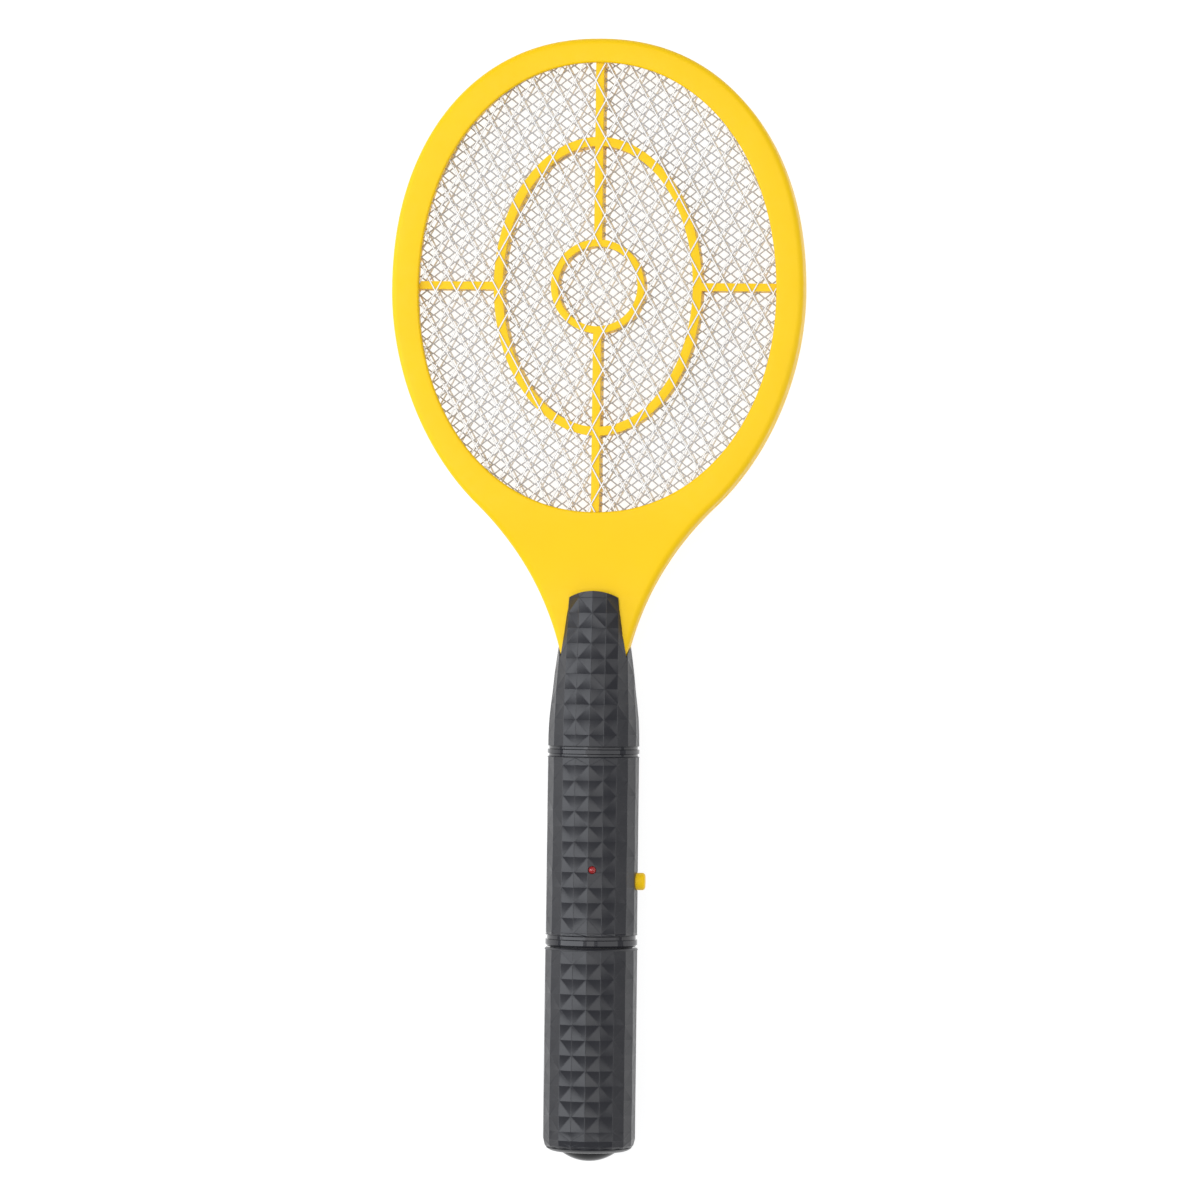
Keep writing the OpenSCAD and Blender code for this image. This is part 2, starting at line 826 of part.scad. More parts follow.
module battery_right() {
    color(copper) place()
        translate([cell_x, right_cell_end_y + cell_length, 0]) rotate([180, 0, 0]) cell();
}

// Conical coil spring along Y, its wide end at y = 0
module coil_spring(length) {
    sides = 6;
    per_turn = 16;
    steps = spring_turns * per_turn;
    points = [
        for (i = [0:steps])
            let (
                a = 360 * i / per_turn,
                f = i / steps,
                radius = spring_big_radius + (spring_small_radius - spring_big_radius) * f,
                y = spring_wire_radius + (length - 2 * spring_wire_radius) * f
            )
                for (k = [0:sides - 1])
                    let (
                        b = 360 * k / sides,
                        rr = radius + spring_wire_radius * cos(b)
                    ) [rr * cos(a), y + spring_wire_radius * sin(b), rr * sin(a)]
    ];
    polyhedron(points, tube_faces(steps, sides), convexity = 6);
}

// Faces of a tube of steps + 1 rings with sides points each
function tube_faces(steps, sides) = concat(
    [[for (k = [0:sides - 1]) k]],
    [[for (k = [sides - 1:-1:0]) steps * sides + k]],
    [
        for (i = [0:steps - 1])
            for (k = [0:sides - 1])
                let (n = (k + 1) % sides)
                    [i * sides + k, (i + 1) * sides + k, (i + 1) * sides + n, i * sides + n]
    ]
);

module contact_plate(half_x) {
    translate([-half_x, 0, -contact_half]) cube([2 * half_x, contact_thickness, 2 * contact_half]);
}

module battery_bridge_contact() {
    color(steel) place() translate([0, tray_bay[0], 0]) {
        contact_plate(cell_x + contact_half - 1);
        translate([cell_x, 0, 0])
            along_y() cylinder(r = 2, h = contact_thickness + dimple_height, $fn = 32);
        translate([-cell_x, contact_thickness - spring_sink, 0])
            coil_spring(left_cell_y - tray_bay[0] - contact_thickness);
    }
}

// Strip behind a contact plate that its lead is soldered to
module contact_tail() {
    tail_width = 2;
    translate([-tail_width / 2, 0, 2.9]) cube([tail_width, 6, contact_thickness]);
}

module positive_contact() {
    color(steel) place() translate([-cell_x, tray_bay[1] - contact_thickness, 0]) {
        contact_plate(contact_half);
        contact_tail();
    }
}

module negative_contact() {
    color(steel) place() translate([cell_x, tray_bay[1] - contact_thickness, 0]) {
        contact_plate(contact_half);
        contact_tail();
        translate([0, spring_sink, 0]) mirror([0, 1, 0])
            coil_spring(tray_bay[1] - contact_thickness - right_cell_end_y - cell_length);
    }
}

// ---- Circuit board ----

module circuit_board() {
    color([0.10, 0.40, 0.20]) place() difference() {
        translate([board_x[0], board_y[0], board_z[0]])
            cube([board_x[1] - board_x[0], board_y[1] - board_y[0], board_z[1] - board_z[0]]);
        for (p = board_screw_at) {
            translate([p[0], p[1], board_z[0] - 1])
                cylinder(r = board_screw_radius + screw_play, h = 4, $fn = 32);
        }
    }
}

module pcb_screws() {
    color(steel) place() for (p = board_screw_at) {
        translate([p[0], p[1], board_z[1]]) mirror([0, 0, 1])
            screw(board_screw_radius, 1.8, 1.2, board_z[1] - board_z[0] + 4.5);
    }
}

module power_button() {
    proud_x = grip_radius + button_proud;
    crown = 0.8;
    color(yellow) place() translate([0, button_y, 0]) rotate([0, 90, 0]) rotate_extrude($fn = 64)
        polygon([
            [0, flange_x[0]], [flange_radius, flange_x[0]], [flange_radius, flange_x[1]],
            [button_radius, flange_x[1]], [button_radius, proud_x - crown],
            [button_radius - 0.3, proud_x - crown / 3], [button_radius - crown, proud_x],
            [0, proud_x]
        ]);
}

module switch_body() {
    bore_depth = 4;
    color(gloss_black) place() translate([0, button_y, 0]) difference() {
        translate([switch_x[0], -switch_half_y, board_z[1]])
            cube([switch_x[1] - switch_x[0], 2 * switch_half_y, switch_top_z - board_z[1]]);
        translate([switch_x[1] - bore_depth, 0, 0]) rotate([0, 90, 0])
            cylinder(r = plunger_radius + plunger_play, h = bore_depth + 1, $fn = 48);
    }
}

module switch_plunger() {
    in_bore = 2;
    color(yellow) place() translate([switch_x[1] - in_bore, button_y, 0]) rotate([0, 90, 0])
        cylinder(r = plunger_radius, h = flange_x[0] - switch_x[1] + in_bore, $fn = 48);
}

module status_led() {
    base_z = led_top_z - led_height;
    color([0.85, 0.05, 0.05]) place() translate([led_x, led_y, base_z]) rotate_extrude($fn = 48)
        polygon(concat(
            [[0, 0], [led_radius + 0.4, 0], [led_radius + 0.4, 1], [led_radius, 1]],
            [for (i = [0:8])
                let (a = 90 * i / 8)
                    [led_radius * cos(a), led_height - led_radius + led_radius * sin(a)]]
        ));
}

module led_leads() {
    base_z = led_top_z - led_height;
    color(steel) place() for (sx = [-1, 1]) {
        translate([led_x + sx * lead_spacing / 2 - lead_half, led_y - lead_half, board_z[1]])
            cube([2 * lead_half, 2 * lead_half, base_z - board_z[1]]);
    }
}

module transformer_core() {
    window_x = (core_size[0] - 3 * core_leg) / 2;
    color([0.25, 0.25, 0.27]) place()
        translate([transformer_at[0], transformer_at[1], board_z[1]]) difference() {
            translate([-core_size[0] / 2, -core_size[1] / 2, 0]) cube(core_size);
            for (sx = [-1, 1]) {
                translate([sx * (core_leg + window_x) / 2 - window_x / 2, -core_size[1], core_leg / 2])
                    cube([window_x, 2 * core_size[1], core_size[2] - core_leg]);
            }
        }
}

// Winding around the core's middle leg, in its window and over both faces
module transformer_coil() {
    window_x = (core_size[0] - 3 * core_leg) / 2;
    gap = 0.1;
    color([0.95, 0.80, 0.25]) place()
        translate([transformer_at[0], transformer_at[1], board_z[1] + core_leg / 2 + gap]) difference() {
            linear_extrude(core_size[2] - core_leg - 2 * gap)
                rounded_bar(core_leg + 2 * (window_x - gap), core_size[1] + 5, 1.5);
            translate([-core_leg / 2 - gap, -core_size[1] / 2 - gap, -1])
                cube([core_leg + 2 * gap, core_size[1] + 2 * gap, core_size[2]]);
        }
}

module hv_capacitor() {
    size = [17, 7.5, 12];
    color([0.70, 0.25, 0.10]) place()
        translate([capacitor_at[0], capacitor_at[1], board_z[1] + size[2] / 2])
            rotate([90, 0, 0]) linear_extrude(size[1], center = true) rounded_bar(size[0], size[2], 2.5);
}

module multiplier_capacitors() {
    radius = 4;
    color([0.20, 0.35, 0.75]) place() for (y = [148.4, 152.6]) {
        translate([-6.5, y, board_z[1] + radius])
            rotate([90, 0, 0]) cylinder(r = radius, h = 2.8, center = true, $fn = 48);
    }
}

// Axial part lying along X on the board, with its two leads
module axial_part(r, length, span) {
    lead_r = 0.3;
    lift = max(r, 1) + 0.1;
    translate([0, 0, lift]) rotate([0, 90, 0]) cylinder(r = r, h = length, center = true, $fn = 32);
    translate([0, 0, lift]) rotate([0, 90, 0]) cylinder(r = lead_r, h = span, center = true, $fn = 16);
    for (sx = [-1, 1]) {
        translate([sx * (span / 2 - lead_r), 0, 0]) cylinder(r = lead_r, h = lift, $fn = 16);
    }
}

module rectifier_diodes() {
    color(gloss_black) place() for (y = [147.2, 150.5, 153.8]) {
        translate([5, y, board_z[1]]) axial_part(1.35, 5.2, 10);
    }
}

module resistors() {
    color([0.80, 0.70, 0.50]) place() for (y = [119, 122.5, 126]) {
        translate([4.5, y, board_z[1]]) axial_part(1.15, 6.3, 11);
    }
}

module driver_transistor() {
    radius = 2.3;
    body_z = 2;
    color(gloss_black) place()
        translate([transistor_at[0], transistor_at[1], board_z[1]]) {
            translate([0, 0, body_z]) linear_extrude(4.6) difference() {
                circle(radius, $fn = 48);
                translate([-radius, radius * 0.6]) square([2 * radius, radius]);
            }
            for (x = [-1.27, 0, 1.27]) {
                translate([x - 0.2, -0.2, 0]) cube([0.4, 0.4, body_z + 0.1]);
            }
        }
}

// ---- Leads ----

// Point of a smooth curve through the route's points, at u from 0 to the last point's number
function route_point(route, u) =
    let (
        last = len(route) - 1,
        i = min(floor(u), last - 1),
        f = u - i,
        a = route[max(i - 1, 0)],
        b = route[i],
        c = route[i + 1],
        d = route[min(i + 2, last)]
    )
        0.5 * (2 * b + (c - a) * f + (2 * a - 5 * b + 4 * c - d) * pow(f, 2)
            + (3 * b - a - 3 * c + d) * pow(f, 3));

module lead(route) {
    sides = 8;
    per_point = 4;
    steps = per_point * (len(route) - 1);
    path = [for (i = [0:steps]) route_point(route, i / per_point)];
    points = [
        for (i = [0:steps])
            let (
                along = unit(path[min(i + 1, steps)] - path[max(i - 1, 0)]),
                side = unit(cross(along, [0, 0, 1])),
                up = cross(side, along)
            )
                for (k = [0:sides - 1])
                    let (a = 360 * k / sides)
                        path[i] + wire_radius * (side * cos(a) + up * sin(a))
    ];
    polyhedron(points, tube_faces(steps, sides), convexity = 6);
}

module centre_mesh_wire() {
    color([0.80, 0.10, 0.10]) place() lead(centre_route);
}

module front_mesh_wire() {
    color(gloss_black) place() lead(front_route);
}

module rear_mesh_wire() {
    color(gloss_black) place() lead(rear_route);
}

module positive_battery_wire() {
    color([0.80, 0.10, 0.10]) place() lead(positive_route);
}

module negative_battery_wire() {
    color(gloss_black) place() lead(negative_route);
}

head_front_frame();
head_rear_frame();
front_spacer_grid();
rear_spacer_grid();
front_mesh();
centre_mesh();
rear_mesh();
head_screws();
grip_front_shell();
grip_rear_shell();
grip_screws();
battery_cover();
end_plug();
battery_tray();
battery_left();
battery_right();
battery_bridge_contact();
positive_contact();
negative_contact();
circuit_board();
pcb_screws();
power_button();
switch_body();
switch_plunger();
status_led();
led_leads();
transformer_core();
transformer_coil();
hv_capacitor();
multiplier_capacitors();
rectifier_diodes();
driver_transistor();
resistors();
centre_mesh_wire();
front_mesh_wire();
rear_mesh_wire();
positive_battery_wire();
negative_battery_wire();
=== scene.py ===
"""Electric fly swatter lying on its back: the looks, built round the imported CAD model."""

import json
import math

import bmesh
import bpy
from mathutils import Matrix, Vector


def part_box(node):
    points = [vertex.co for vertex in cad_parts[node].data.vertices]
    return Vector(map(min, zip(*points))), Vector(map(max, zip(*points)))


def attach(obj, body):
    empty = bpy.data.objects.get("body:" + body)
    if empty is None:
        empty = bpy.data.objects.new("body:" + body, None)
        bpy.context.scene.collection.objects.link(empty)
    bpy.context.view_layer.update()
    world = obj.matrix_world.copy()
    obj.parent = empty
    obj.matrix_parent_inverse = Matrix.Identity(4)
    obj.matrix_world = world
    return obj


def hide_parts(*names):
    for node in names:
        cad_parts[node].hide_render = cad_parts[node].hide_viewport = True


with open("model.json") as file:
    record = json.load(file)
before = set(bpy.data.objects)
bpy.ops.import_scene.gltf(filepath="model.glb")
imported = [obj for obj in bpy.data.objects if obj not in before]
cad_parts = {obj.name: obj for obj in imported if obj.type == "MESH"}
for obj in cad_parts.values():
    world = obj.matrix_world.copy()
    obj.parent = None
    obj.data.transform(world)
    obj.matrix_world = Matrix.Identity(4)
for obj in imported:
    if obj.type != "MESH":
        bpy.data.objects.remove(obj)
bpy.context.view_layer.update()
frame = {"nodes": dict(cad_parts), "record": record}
NODES = frame["nodes"]

# ---- Driving dimensions, in millimetres. Y runs from the butt, Z from the middle plane ----

MM = 0.001
BUTT_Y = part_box("end_plug")[0][1]
AXIS_Z = (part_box("battery_cover")[0][2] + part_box("battery_cover")[1][2]) / 2
LENGTH = (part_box("head_front_frame")[1][1] - BUTT_Y) / MM
HEAD_HALF_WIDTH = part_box("head_front_frame")[1][0] / MM
FRAME_HALF = (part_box("head_front_frame")[1][2] - AXIS_Z) / MM
MESH_Z = (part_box("front_mesh")[0][2] - AXIS_Z) / MM
MESH_THICKNESS = (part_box("front_mesh")[1][2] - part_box("front_mesh")[0][2]) / MM
COVER_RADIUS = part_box("battery_cover")[1][0] / MM

# Outline of the head
CENTRE_Y = 341
UPPER_POWER = 2.18
LOWER_POWER = 1.9
LOWER_DEPTH = 105
JOIN_ANGLE = 53.8
NECK_RADIUS = 120
NECK_END_ANGLE = 12
TONGUE_LOW_Y = 184

# Opening of the head
OPENING_HALF_WIDTH = 70.2
OPENING_UP = 89.4
OPENING_DOWN = 86.4
OPENING_POWER = 2.09
MESH_OVERLAP = 3.1
REAR_OPENING_MARGIN = 1.8
NARROWEST_CELL = 0.7

# Patterns of the meshes: pitch across, pitch along, half the bond, shift across, shift along
GUARD_PATTERN = (8.3, 15.1, 0, -1.55, -0.5)
FINE_PATTERN = (5.44, 3.78, 0.2, 0, 0)
STRAND = 0.36
GUARD_FLANK = 0.13
FINE_FLANK = 0.10

# The head thins down to the neck between these two lines
SLOPE_HIGH_Y = 262
SLOPE_LOW_Y = 221
SLOPE_DROP = 3.56

# Facets of the grip
ROW_PITCH = 5.96
ROW_START_Y = 78.1 - 13 * ROW_PITCH
COLUMN_PITCH = 5.7
HALF_COLUMNS = 5
PATTERN_SECTIONS = ((5.4, 83.1), (89.1, 158.6), (163.1, 226.5))
GROOVES = ((83.6, 89.0), (158.7, 163.0))
SKIN = 0.03
# The head's skin lies this far inside its outline, below the flats of the CAD outline
HEAD_SKIN = 0.1
RIDGE_HALF_WIDTH = 0.13
RIDGE_HEIGHT = 0.045
FACET_ANGLE = 2.5

# Edges sharper than these angles in degrees stay sharp on the head and on the softened pieces
HEAD_CREASE_ANGLE = 32
SOFT_CREASE_ANGLE = 35


def at(x, y, z):
    """Place in metres of a point given in millimetres, with Y from the butt and Z from the middle plane."""
    return Vector((x * MM, BUTT_Y + y * MM, AXIS_Z + z * MM))


# ---- Outlines ----

def quarter(a, b, power, angle):
    """Point of a rounded quarter outline, at an angle in degrees from its side."""
    c = max(math.cos(math.radians(angle)), 0.0)
    s = max(math.sin(math.radians(angle)), 0.0)
    return a * c ** (2 / power), b * s ** (2 / power)


def head_outline(steps):
    """Right half of the head's outline, from its top down to the neck's hidden end."""
    top = LENGTH - CENTRE_Y
    points = []
    for i in range(steps, -1, -1):
        x, y = quarter(HEAD_HALF_WIDTH, top, UPPER_POWER, 90 * i / steps)
        points.append((x, CENTRE_Y + y))
    for i in range(1, steps + 1):
        x, y = quarter(HEAD_HALF_WIDTH, LOWER_DEPTH, LOWER_POWER, JOIN_ANGLE * i / steps)
        points.append((x, CENTRE_Y - y))
    jx, jy = quarter(HEAD_HALF_WIDTH, LOWER_DEPTH, LOWER_POWER, JOIN_ANGLE)
    power = LOWER_POWER
    slope = math.atan(
        jy ** (power - 1) / LOWER_DEPTH ** power * HEAD_HALF_WIDTH ** power / jx ** (power - 1)
    )
    cx = jx + NECK_RADIUS * math.cos(slope)
    cy = CENTRE_Y - jy - NECK_RADIUS * math.sin(slope)
    end = math.radians(NECK_END_ANGLE)
    for i in range(1, steps + 1):
        a = slope + (end - slope) * i / steps
        points.append((cx - NECK_RADIUS * math.cos(a), cy + NECK_RADIUS * math.sin(a)))
    points.append((points[-1][0], TONGUE_LOW_Y))
    return points


def opening_outline(grow, steps):
    """Right half of the opening's outline, from its top to its bottom, grown by some millimetres."""
    points = []
    for i in range(steps, -1, -1):
        x, y = quarter(OPENING_HALF_WIDTH + grow, OPENING_UP + grow, OPENING_POWER, 90 * i / steps)
        points.append((x, CENTRE_Y + y))
    for i in range(1, steps + 1):
        x, y = quarter(OPENING_HALF_WIDTH + grow, OPENING_DOWN + grow, OPENING_POWER, 90 * i / steps)
        points.append((x, CENTRE_Y - y))
    return points


def closed(right):
    """Both halves of an outline, without doubling the points on the axis."""
    left = [(-x, y) for x, y in reversed(right) if x > 1e-6]
    return right + left


def moved_in(loop, distance):
    """A closed clockwise loop, moved inwards by a distance."""
    count = len(loop)
    moved = []
    for i, (x, y) in enumerate(loop):
        ax, ay = loop[i - 1]
        bx, by = loop[(i + 1) % count]
        length = math.hypot(bx - ax, by - ay)
        moved.append((x + distance * (by - ay) / length, y - distance * (bx - ax) / length))
    return moved


# ---- Mesh helpers ----

def new_piece(name, bm):
    """Object made from a bmesh, with its normals turned outwards."""
    bmesh.ops.recalc_face_normals(bm, faces=bm.faces)
    mesh = bpy.data.meshes.new(name)
    bm.to_mesh(mesh)
    bm.free()
    piece = bpy.data.objects.new(name, mesh)
    bpy.context.scene.collection.objects.link(piece)
    return piece


def copy_of(node, name):
    """New object with a CAD node's mesh, its split corners merged again."""
    bm = bmesh.new()
    bm.from_mesh(NODES[node].data)
    bmesh.ops.remove_doubles(bm, verts=bm.verts, dist=1e-6)
    return new_piece(name, bm)


def apply_modifiers(piece):
    """Turns a piece's modifiers into its mesh."""
    depsgraph = bpy.context.evaluated_depsgraph_get()
    mesh = bpy.data.meshes.new_from_object(piece.evaluated_get(depsgraph))
    piece.modifiers.clear()
    piece.data = mesh


def trimmed(node, name, envelope):
    """A CAD node cut to the inside of an envelope, which gives it its skin."""
    piece = copy_of(node, name)
    cut = piece.modifiers.new("cut", "BOOLEAN")
    cut.operation = "INTERSECT"
    cut.solver = "EXACT"
    cut.object = envelope
    apply_modifiers(piece)
    bpy.data.objects.remove(envelope)
    return piece


def shade(piece, angle):
    """Smooth shading, with creases at edges sharper than an angle in degrees."""
    piece.data.shade_smooth()
    piece.data.set_sharp_from_angle(angle=math.radians(angle))


def finish_piece(piece, material, body, slot, *nodes):
    """Gives a piece its material and its body, and hides the CAD nodes that it stands for. The slot
    argument is not used.
    """
    piece.data.materials.clear()
    piece.data.materials.append(material)
    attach(piece, body)
    if nodes:
        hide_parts(*nodes)
    return piece


def add_ring(bm, loop, z):
    return [bm.verts.new(at(x, y, z)) for x, y in loop]


def join_rings(bm, low, high):
    count = len(low)
    for i in range(count):
        j = (i + 1) % count
        bm.faces.new((low[i], low[j], high[j], high[i]))


def ring_edges(bm, ring):
    return [bm.edges.get((ring[i - 1], ring[i])) for i in range(len(ring))]


def lathe(name, profile, origin, steps):
    """Solid turned round the Y axis through origin. The profile is (radius, y) in millimetres."""
    bm = bmesh.new()
    rings = []
    for radius, y in profile:
        centre = origin + Vector((0, y * MM, 0))
        if radius < 1e-6:
            rings.append([bm.verts.new(centre)])
            continue
        ring = []
        for i in range(steps):
            a = 2 * math.pi * i / steps
            ring.append(bm.verts.new(centre + radius * MM * Vector((math.cos(a), 0, math.sin(a)))))
        rings.append(ring)
    for low, high in zip(rings, rings[1:]):
        for i in range(steps):
            j = (i + 1) % steps
            if len(low) == 1:
                bm.faces.new((low[0], high[i], high[j]))
            elif len(high) == 1:
                bm.faces.new((low[i], high[0], low[j]))
            else:
                bm.faces.new((low[i], high[i], high[j], low[j]))
    return new_piece(name, bm)


# ---- Head frame ----

def slope_drop(y):
    """How far the face of the head lies below its full height at a distance from the butt."""
    t = min(max((SLOPE_HIGH_Y - y) / (SLOPE_HIGH_Y - SLOPE_LOW_Y), 0), 1)
    return SLOPE_DROP * t * t * (3 - 2 * t)


def head_envelope(margin):
    """Front half of the head's skin: rounded outer edge, rounded opening, smooth slope to the neck."""
    edge = 2.4
    lip = 0.9
    face_z = FRAME_HALF - SKIN
    seam_z = 0.04
    bm = bmesh.new()
    outer = closed(head_outline(56))
    opening = closed(opening_outline(margin, 72))
    outer_profile = [(HEAD_SKIN + 0.35, seam_z), (HEAD_SKIN, seam_z + 0.3)]
    for i in range(7):
        a = math.radians(15 * i)
        outer_profile.append((HEAD_SKIN + edge * (1 - math.cos(a)), face_z - edge * (1 - math.sin(a))))
    opening_profile = []
    for i in range(6, -1, -1):
        a = math.radians(15 * i)
        opening_profile.append((SKIN + lip * (1 - math.cos(a)), face_z - lip * (1 - math.sin(a))))
    opening_profile.append((SKIN, seam_z))
    outer_rings = [add_ring(bm, moved_in(outer, d), z) for d, z in outer_profile]
    opening_rings = [add_ring(bm, moved_in(opening, -d), z) for d, z in opening_profile]
    for rings in (outer_rings, opening_rings):
        for low, high in zip(rings, rings[1:]):
            join_rings(bm, low, high)
    for a, b in ((outer_rings[-1], opening_rings[0]), (outer_rings[0], opening_rings[-1])):
        edges = ring_edges(bm, a) + ring_edges(bm, b)
        bmesh.ops.triangle_fill(bm, edges=edges, use_beauty=True)
    stations = 12
    for i in range(stations + 1):
        y = SLOPE_LOW_Y + (SLOPE_HIGH_Y - SLOPE_LOW_Y) * i / stations
        geometry = bm.verts[:] + bm.edges[:] + bm.faces[:]
        bmesh.ops.bisect_plane(bm, geom=geometry, plane_co=at(0, y, 0), plane_no=(0, 1, 0), dist=1e-7)
    middle = AXIS_Z + FRAME_HALF / 2 * MM
    for v in bm.verts:
        if v.co.z > middle:
            v.co.z -= slope_drop((v.co.y - BUTT_Y) / MM) * MM
    return new_piece("head_envelope", bm)


def flipped(piece):
    """The same piece mirrored in the middle plane."""
    piece.data.transform(Matrix.Translation((0, 0, 2 * AXIS_Z)) @ Matrix.Diagonal((1, 1, -1, 1)))
    piece.data.flip_normals()
    return piece


def head_frames(material):
    for side, envelope in (
        ("front", head_envelope(0)),
        ("rear", flipped(head_envelope(REAR_OPENING_MARGIN))),
    ):
        node = f"head_{side}_frame"
        half = trimmed(node, side + "_head_frame", envelope)
        shade(half, HEAD_CREASE_ANGLE)
        finish_piece(half, material, "racket", "yellow_plastic", node)


def softened(node, name, width, materials, body, slot):
    """A CAD node rebuilt with its edges rounded."""
    piece = copy_of(node, name)
    bm = bmesh.new()
    bm.from_mesh(piece.data)
    bmesh.ops.dissolve_limit(bm, angle_limit=math.radians(0.5), verts=bm.verts, edges=bm.edges)
    bm.to_mesh(piece.data)
    bm.free()
    bevel = piece.modifiers.new("edges", "BEVEL")
    bevel.width = width * MM
    bevel.segments = 3
    bevel.limit_method = "ANGLE"
    bevel.angle_limit = math.radians(50)
    apply_modifiers(piece)
    shade(piece, SOFT_CREASE_ANGLE)
    return finish_piece(piece, materials[slot], body, slot, node)


# ---- Meshes ----

def inside(point, loop):
    """True if a point lies inside a convex clockwise loop."""
    for i, (bx, by) in enumerate(loop):
        ax, ay = loop[i - 1]
        if (bx - ax) * (point[1] - ay) - (by - ay) * (point[0] - ax) > 0:
            return False
    return True


def clipped(cell, loop):
    """The part of a cell that lies inside a convex clockwise loop."""
    for i, (bx, by) in enumerate(loop):
        ax, ay = loop[i - 1]
        kept = []
        sides = [(bx - ax) * (y - ay) - (by - ay) * (x - ax) for x, y in cell]
        for k, (x, y) in enumerate(cell):
            px, py = cell[k - 1]
            if (sides[k] > 0) != (sides[k - 1] > 0):
                f = sides[k - 1] / (sides[k - 1] - sides[k])
                kept.append((px + (x - px) * f, py + (y - py) * f))
            if sides[k] <= 0:
                kept.append((x, y))
        cell = kept
        if len(cell) < 3:
            return []
    return cell


def diamond_cells(pitch_x, pitch_y, bond, shift_x, shift_y):
    """Cells of expanded sheet: diamonds with a short level bond at each side."""
    rows = math.ceil(2 * (OPENING_UP + MESH_OVERLAP) / pitch_y) + 1
    columns = math.ceil(2 * (OPENING_HALF_WIDTH + MESH_OVERLAP) / pitch_x) + 1
    cells = []
    for row in range(-rows, rows + 1):
        for column in range(-columns, columns + 1):
            x = (column + (row % 2) / 2) * pitch_x + shift_x
            y = CENTRE_Y + row * pitch_y / 2 + shift_y
            if abs(x) > OPENING_HALF_WIDTH + MESH_OVERLAP + pitch_x:
                continue
            if abs(y - CENTRE_Y) > OPENING_UP + MESH_OVERLAP + pitch_y:
                continue
            half_x = pitch_x / 2
            half_y = pitch_y / 2
            corners = [(x - half_x + bond, y), (x - bond, y + half_y), (x + bond, y + half_y),
                       (x + half_x - bond, y), (x + bond, y - half_y), (x - bond, y - half_y)]
            if bond == 0:
                corners = [(x - half_x, y), (x, y + half_y), (x + half_x, y), (x, y - half_y)]
            cells.append(corners)
    return cells


def mesh_sheet(name, cells, strand, flank, sink):
    """Sheet of open cells, cut to the opening. Its strands are flat on top, with sloping flanks."""
    loop = closed(opening_outline(MESH_OVERLAP, 48))
    bm = bmesh.new()
    for cell in cells:
        if not all(inside(p, loop) for p in cell):
            cell = clipped(cell, loop)
        if len(cell) > 2:
            bm.faces.new([bm.verts.new(at(x, y, 0)) for x, y in cell])
    bmesh.ops.remove_doubles(bm, verts=bm.verts, dist=2e-5)
    bmesh.ops.dissolve_degenerate(bm, edges=bm.edges, dist=2e-5)
    half = MESH_THICKNESS / 2 * MM
    cells = [f for f in bm.faces if 2 * f.calc_area() / f.calc_perimeter() > NARROWEST_CELL * MM]
    bmesh.ops.inset_individual(bm, faces=cells, thickness=strand / 2 * MM, use_even_offset=True)
    bmesh.ops.inset_individual(bm, faces=cells, thickness=flank * MM, depth=0, use_even_offset=True)
    for v in {v for cell in cells for v in cell.verts}:
        v.co.z -= half
    bmesh.ops.delete(bm, geom=cells, context="FACES_ONLY")
    for v in bm.verts:
        v.co.z += half
    top = AXIS_Z + half / 2
    rim = [e for e in bm.edges if e.is_boundary and min(v.co.z for v in e.verts) > top]
    below = bmesh.ops.duplicate(bm, geom=bm.verts[:] + bm.edges[:] + bm.faces[:])["vert_map"]
    for v in [v for v in bm.verts if v in below and v.co.z >= AXIS_Z]:
        below[v].co.z = 2 * AXIS_Z - v.co.z
    for a, b in [e.verts for e in rim]:
        bm.faces.new((a, b, below[b], below[a]))
    bmesh.ops.remove_doubles(bm, verts=bm.verts, dist=1e-6)
    bmesh.ops.translate(bm, verts=bm.verts, vec=(0, 0, sink * MM))
    return new_piece(name, bm)


def expanded_sheets(outer_metal, inner_metal):
    level = MESH_Z + MESH_THICKNESS / 2
    for side, height in (("front", level), ("rear", -level)):
        cells = diamond_cells(*GUARD_PATTERN)
        sheet = mesh_sheet(side + "_guard_mesh", cells, STRAND, GUARD_FLANK, height)
        finish_piece(sheet, outer_metal, "racket", "mesh_metal", side + "_mesh")
    cells = diamond_cells(*FINE_PATTERN)
    sheet = mesh_sheet("centre_fine_mesh", cells, STRAND, FINE_FLANK, 0)
    finish_piece(sheet, inner_metal, "racket", "mesh_metal", "centre_mesh")


# ---- Grip ----

def grip_skin_radius(y):
    """Radius of the grip's skin at a distance from the butt."""
    cover = COVER_RADIUS
    corner = 5.0
    butt = 4.0
    stations = [(butt + corner, cover), (83.5, cover), (84, 18.15), (163, 18.1), (168, 18.05),
                (175, 17.7), (226.5, 11.3)]
    if y < butt + corner:
        return cover - corner + math.sqrt(max(corner ** 2 - (butt + corner - y) ** 2, 0))
    for (y0, r0), (y1, r1) in zip(stations, stations[1:]):
        if y <= y1:
            return r0 + (r1 - r0) * (y - y0) / (y1 - y0)
    return stations[-1][1]


def relief(column, row):
    """Depth below the skin of a corner where the facets meet. Stars stand at every other corner."""
    turn = (column + row) // 2 % 2
    if (column + row) % 2 == 0:
        return 0.14 * turn
    return 0.04 + 0.07 * turn


def relief_at(column, y):
    row = (y - ROW_START_Y) / ROW_PITCH
    low = math.floor(row + 1e-6)
    f = max(row - low, 0)
    return relief(column, low) * (1 - f) + relief(column, low + 1) * f


def ring_columns():
    """(column, side) of each corner round the grip, from the right seam over the front."""
    front = [(k, 1) for k in range(HALF_COLUMNS, -HALF_COLUMNS - 1, -1)]
    rear = [(k, -1) for k in range(-HALF_COLUMNS + 1, HALF_COLUMNS)]
    return front + rear


